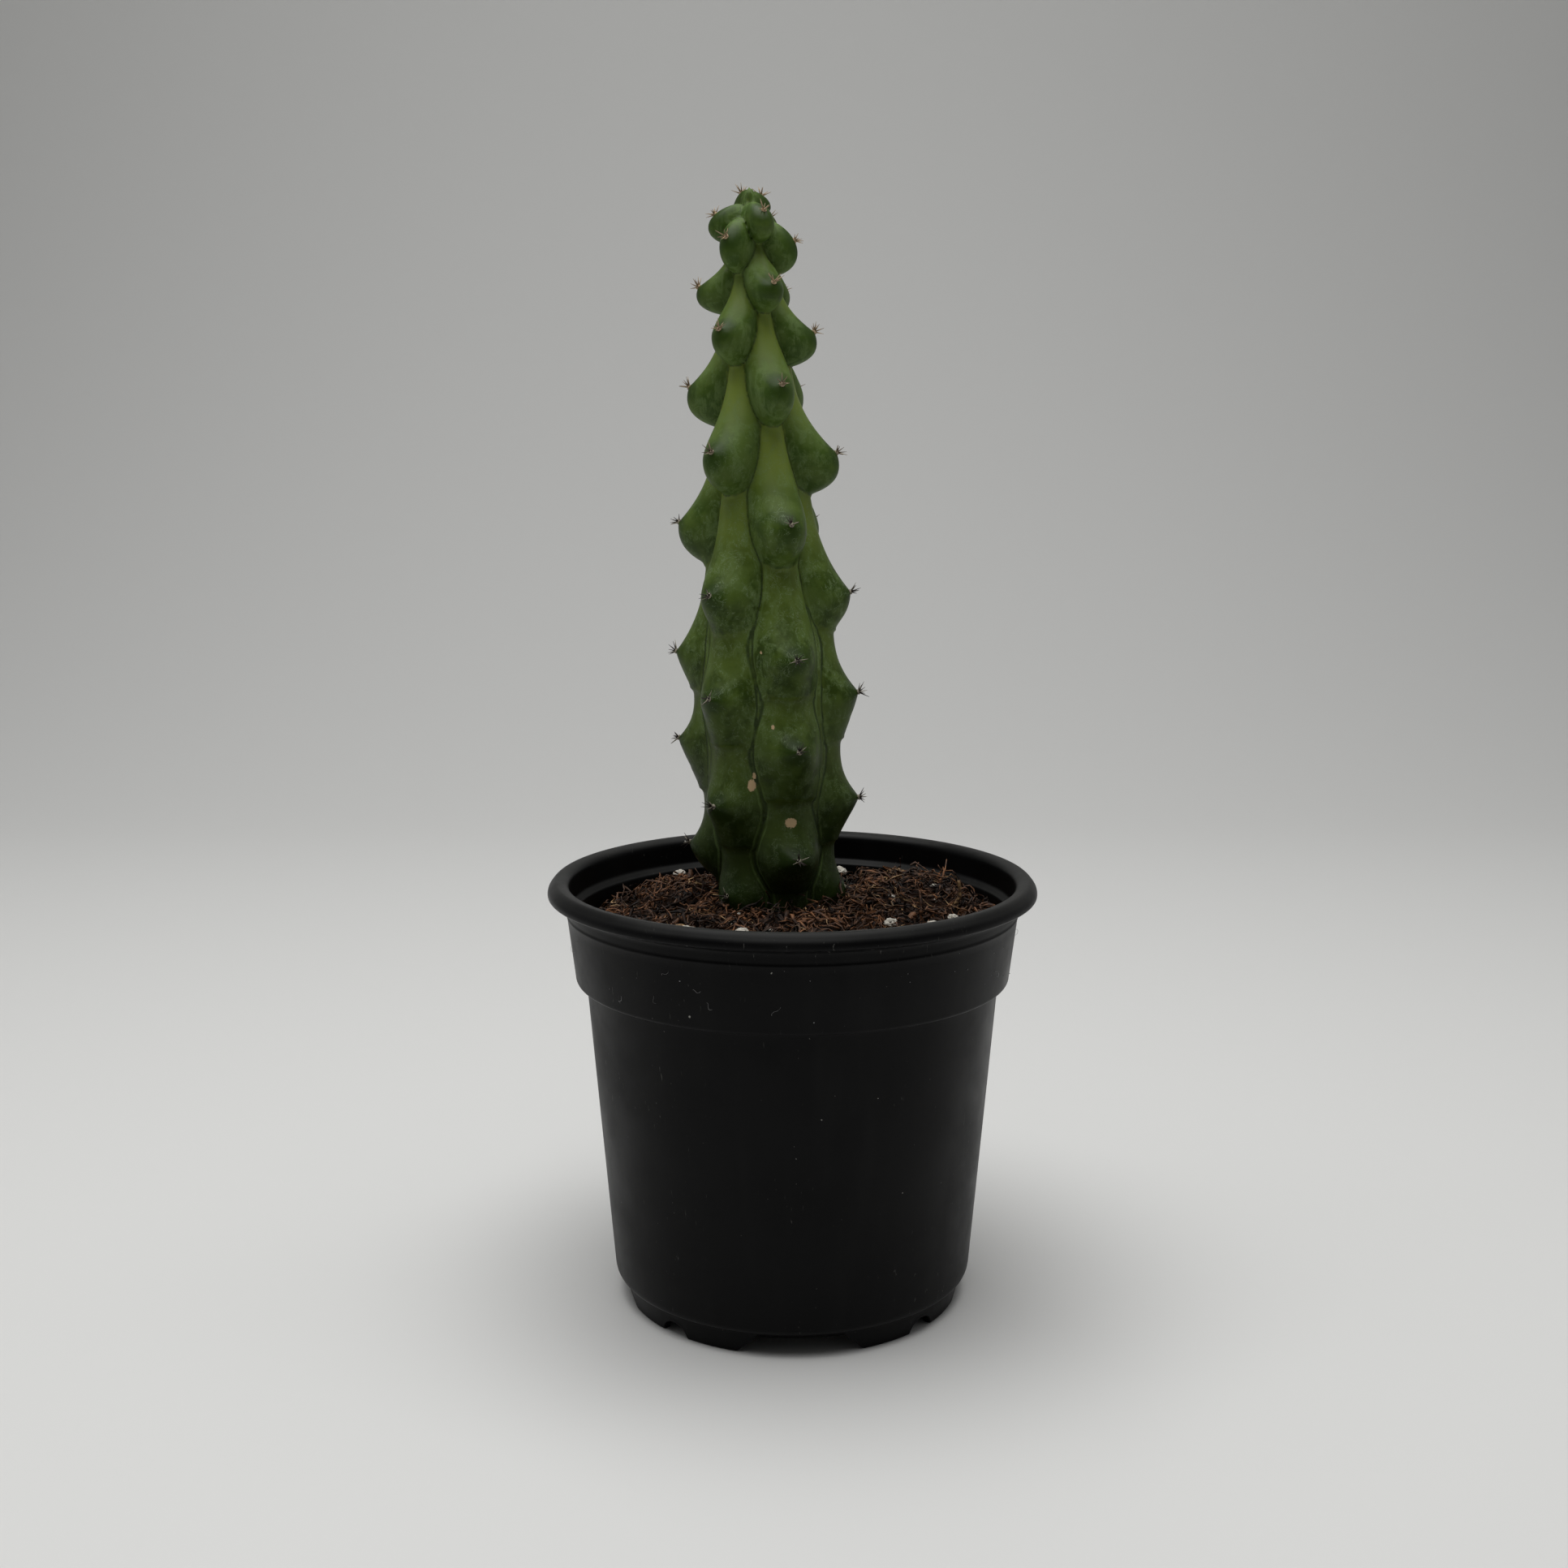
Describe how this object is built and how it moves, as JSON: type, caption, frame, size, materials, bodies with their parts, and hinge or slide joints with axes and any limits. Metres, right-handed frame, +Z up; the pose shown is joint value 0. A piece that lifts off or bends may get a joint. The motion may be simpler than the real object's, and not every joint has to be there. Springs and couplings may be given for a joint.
{
  "type": "potted tall cactus",
  "caption": "Columnar ribbed cactus with swollen tubercles and short spines, rooted in coir potting mix in a round black nursery pot.",
  "frame": {"origin": "on the ground under the middle of the pot", "axes": "+Z up the plant, -Y towards the front, +X to the right seen from the front"},
  "size_m": [0.11, 0.11, 0.2483],
  "materials": {
    "pot_plastic": "satin",
    "potting_mix": "matte",
    "cactus_skin": "satin",
    "spines": "matte",
    "perlite": "matte",
    "bark": "matte"
  },
  "bodies": {
    "root": {"pot": "pot_plastic", "potting_mix": "potting_mix", "cactus_stem": "cactus_skin", "areole_1_1": "spines", "areole_1_2": "spines", "areole_1_3": "spines", "areole_1_4": "spines", "areole_1_5": "spines", "areole_1_6": "spines", "areole_1_7": "spines", "areole_2_1": "spines", "areole_2_2": "spines", "areole_2_3": "spines", "areole_2_4": "spines", "areole_2_5": "spines", "areole_2_6": "spines", "areole_2_7": "spines", "areole_3_1": "spines", "areole_3_2": "spines", "areole_3_3": "spines", "areole_3_4": "spines", "areole_3_5": "spines", "areole_3_6": "spines", "areole_3_7": "spines", "areole_4_1": "spines", "areole_4_2": "spines", "areole_4_3": "spines", "areole_4_4": "spines", "areole_4_5": "spines", "areole_4_6": "spines", "areole_4_7": "spines", "areole_5_1": "spines", "areole_5_2": "spines", "areole_5_3": "spines", "areole_5_4": "spines", "areole_5_5": "spines", "areole_5_6": "spines", "areole_5_7": "spines", "areole_5_8": "spines", "areole_6_1": "spines", "areole_6_2": "spines", "areole_6_3": "spines", "areole_6_4": "spines", "areole_6_5": "spines", "areole_6_6": "spines", "areole_6_7": "spines", "areole_6_8": "spines", "bark_chip_1": "bark", "bark_chip_2": "bark", "perlite_1": "perlite", "perlite_2": "perlite", "perlite_3": "perlite", "perlite_4": "perlite", "perlite_5": "perlite", "perlite_6": "perlite", "perlite_7": "perlite", "twig": "bark"}
  },
  "joints": []
}
